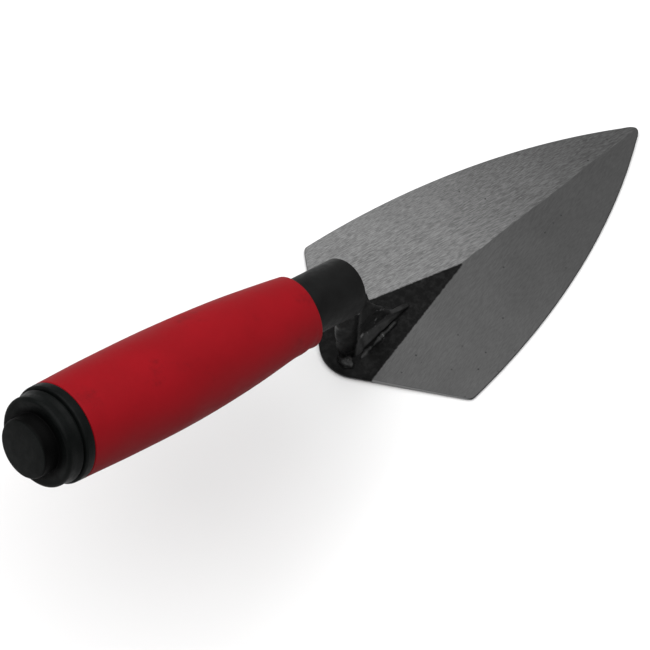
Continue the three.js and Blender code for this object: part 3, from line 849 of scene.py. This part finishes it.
def make_lump(name, node, centre, radii, seed, material):
    """A lump of weld metal, uneven on every side, standing on the blade."""
    points = []
    for i in range(LUMP_ROWS + 1):
        tilt = math.pi * i / LUMP_ROWS
        for k in range(LUMP_STEPS):
            angle = TAU * k / LUMP_STEPS
            way = Vector((math.sin(tilt) * math.cos(angle), math.sin(tilt) * math.sin(angle), math.cos(tilt)))
            swell = 1 + 0.28 * noise.noise(way * 1.7 + Vector((seed, 0, 0))) + 0.1 * noise.noise(way * 4.5)
            point = Vector(centre) + Vector(way[axis] * radii[axis] * swell for axis in range(3))
            points.append((point.x, point.y, max(point.z, THICKNESS - WELD_SINK)))
    faces = grid_faces(LUMP_ROWS + 1, LUMP_STEPS)
    finished(name, points, faces, 0, material, node)


def make_welds():
    material = lacquer()
    make_side_bead("weld_bead_right", "weld_right", -1, material)
    make_side_bead("weld_bead_left", "weld_left", 1, material)
    make_lump("weld_lump_heel", "weld_heel", (-4.0, -2.4, 2.1), (2.3, 3.3, 1.7), 4.2, material)
    make_lump("weld_lump_toe", "weld_toe", (26.9, 0.3, 2.0), (1.4, 1.1, 0.7), 9.4, material)


# ---- handle


def grip_radius(along):
    return through(GRIP_RADII, (along - GRIP_START) / (GRIP_END - GRIP_START))


def make_ferrule():
    corners = (
        (TANG_HOLE_RADIUS, 0.0, 0.3),
        (FERRULE_RADIUS, 0.0, 0.55),
        (FERRULE_RADIUS, FERRULE_LENGTH, 0.3),
        (FERRULE_BORE_RADIUS, FERRULE_LENGTH, 0.3),
        (FERRULE_BORE_RADIUS, FERRULE_FACE_THICKNESS, 0.3),
        (TANG_HOLE_RADIUS, FERRULE_FACE_THICKNESS, 0.3),
    )
    turned("ferrule_tube", rounded(corners), ferrule_black(), "ferrule")


def make_core(material):
    """The core under the grip, with the flange that shows behind it."""
    flange = grip_radius(GRIP_END)
    corners = (
        (TANG_HOLE_RADIUS, TANG_HOLE_DEPTH, 0.3),
        (TANG_HOLE_RADIUS, CORE_NOSE_START, 0.2),
        (CORE_NOSE_RADIUS, CORE_NOSE_START, 0.2),
        (CORE_NOSE_RADIUS, CORE_NOSE_END, 0.3),
        (CORE_FRONT_RADIUS, CORE_NOSE_END, 0.3),
        (BARREL_RADIUS, BARREL_AT, 5.0),
        (CORE_REAR_RADIUS, FLANGE_START, 0.2),
        (flange, FLANGE_START, 0.35),
        (flange - 0.1, FLANGE_END, 0.7),
        (SPIGOT_RADIUS, FLANGE_END, 0.2),
        (SPIGOT_RADIUS, SPIGOT_END, 0.2),
        (0.0, SPIGOT_END, 0),
        (0.0, TANG_HOLE_DEPTH, 0),
    )
    turned("core_flange", rounded(corners), material, "handle_core")


def grip_outside():
    """Points along the grip's outside, between its rounded ends."""
    stations = (GRIP_START + GRIP_LIP + STATION_STEP * k for k in range(STATIONS))
    return [(grip_radius(along), along, 0) for along in stations]


def grip_shape(radius, angle, along):
    """The moulding isn't quite round: its lip is cut back for the thumb and swells below, and it sags."""
    behind = along - GRIP_START
    from_thumb = abs((angle - THUMB_ANGLE + math.pi) % TAU - math.pi)
    slant = mix(THUMB_CUT, -LIP_REACH, smoothstep(THUMB_CUT_FROM, THUMB_CUT_TO, from_thumb))
    on_the_outside = radius >= grip_radius(along) - 1.5
    if on_the_outside:
        from_top = math.pi - abs(math.pi - angle)
        under = smoothstep(FINGER_STOP_FROM, FINGER_STOP_TO, from_top)
        for rise, crest, spread in FINGER_STOP:
            radius += under * rise * math.exp(-(((behind - crest) / spread) ** 2))
        sag = BARREL_SAG * math.sin(math.pi * clamped(behind / (GRIP_END - GRIP_START))) ** 2
        height, sideways = radius * math.cos(angle) - sag, radius * math.sin(angle)
        radius, angle = math.hypot(height, sideways), math.atan2(sideways, height)
    return radius, angle, along + slant * max(1 - behind / THUMB_CUT_LENGTH, 0.0) ** 2


def make_grip():
    corners = (
        (GRIP_BORE_RADIUS, GRIP_START + 0.3, 0.5),
        (grip_radius(GRIP_START), GRIP_START, GRIP_LIP),
        *grip_outside(),
        (grip_radius(GRIP_END), GRIP_END, 0.35),
        (grip_radius(GRIP_END) - GRIP_REAR_WALL, GRIP_END, 0.3),
        (BARREL_RADIUS + CORE_GAP, BARREL_AT, 4.0),
        (CORE_FRONT_RADIUS + CORE_GAP, FERRULE_LENGTH + 0.5, 0.2),
    )
    turned("grip_moulding", rounded(corners), red_rubber(), "grip_sleeve", grip_shape)


def make_cap(material):
    corners = (
        (0.0, BOSS_END, 0),
        (5.0, BOSS_END - 0.05, 0.5),
        (BOSS_RADIUS, BOSS_END - 0.3, 0.7),
        (BOSS_RADIUS + 0.1, BOSS_FOOT, 0.25),
        (RING_RADIUS, RING_AT, 0.8),
        (RIM_RADIUS, RIM_END, 1.5),
        (RIM_RADIUS, RIM_START, 0.5),
        (SHOULDER_RADIUS, SHOULDER_AT, 0.4),
        (GROOVE_RADIUS, GROOVE_END, 0.2),
        (GROOVE_RADIUS, CAP_FRONT, 0.2),
        (CAP_BORE_RADIUS, CAP_FRONT, 0.2),
        (CAP_BORE_RADIUS, CAP_BORE_END, 0.2),
        (0.0, CAP_BORE_END, 0),
    )
    turned("cap_moulding", rounded(corners, 8), material, "end_cap")


def make_handle():
    make_ferrule()
    plastic = cap_black()
    make_core(plastic)
    make_grip()
    make_cap(plastic)


# ---- studio

CAMERA_PLACE = Vector((-456.556, -414.856, 949.576))
CAMERA_VIEW = Vector((0.40282554, 0.37660569, -0.83420605))
CAMERA_ROLL = math.radians(4.112)
CAMERA_LENS = 186.587
CAMERA_SENSOR = 36.0

# Metres and watts.
CAMERA_NEAREST = 0.05
FLOOR_HALF_SIDE = 4.0
FLOOR_GAP = 0.0003
LIGHT_AIM = Vector((0.0, 0.0, 0.03))
LIGHT_WAY = Vector((0.0, 0.08, 1.0))
LIGHT_DISTANCE = 1.5
LIGHT_SIDE = 2.6
LIGHT_POWER = 72.0
SKY_STRENGTH = 0.16


def make_camera():
    camera = bpy.data.objects.new("camera", bpy.data.cameras.new("camera"))
    bpy.context.scene.collection.objects.link(camera)
    camera.location = CAMERA_PLACE * MM
    camera.rotation_mode = "QUATERNION"
    camera.rotation_quaternion = CAMERA_VIEW.to_track_quat("-Z", "Y") @ Quaternion((0, 0, 1), CAMERA_ROLL)
    camera.data.lens = CAMERA_LENS
    camera.data.sensor_width = CAMERA_SENSOR
    camera.data.clip_start = CAMERA_NEAREST
    bpy.context.scene.camera = camera


def make_light():
    """One wide, soft light overhead."""
    light = bpy.data.lights.new("overhead_light", "AREA")
    light.shape = "RECTANGLE"
    light.size = light.size_y = LIGHT_SIDE
    light.energy = LIGHT_POWER
    lamp = bpy.data.objects.new("overhead_light", light)
    bpy.context.scene.collection.objects.link(lamp)
    way = LIGHT_WAY.normalized()
    lamp.location = LIGHT_AIM + way * LIGHT_DISTANCE
    lamp.rotation_mode = "QUATERNION"
    lamp.rotation_quaternion = (-way).to_track_quat("-Z", "Y")


def make_floor():
    mesh = bpy.data.meshes.new("studio_floor")
    signs = ((-1, -1), (1, -1), (1, 1), (-1, 1))
    corners = [(x * FLOOR_HALF_SIDE, y * FLOOR_HALF_SIDE, -FLOOR_GAP) for x, y in signs]
    mesh.from_pydata(corners, [], [(0, 1, 2, 3)])
    mesh.materials.append(floor_white())
    floor = bpy.data.objects.new("studio_floor", mesh)
    bpy.context.scene.collection.objects.link(floor)


def make_sky():
    world = bpy.data.worlds.new("studio")
    world.use_nodes = True
    background = world.node_tree.nodes["Background"]
    background.inputs["Color"].default_value = (1, 1, 1, 1)
    background.inputs["Strength"].default_value = SKY_STRENGTH
    bpy.context.scene.world = world
    bpy.context.scene.view_settings.view_transform = "Standard"


make_camera()
make_floor()
make_sky()
make_light()
make_blade()
make_shank()
make_welds()
make_handle()
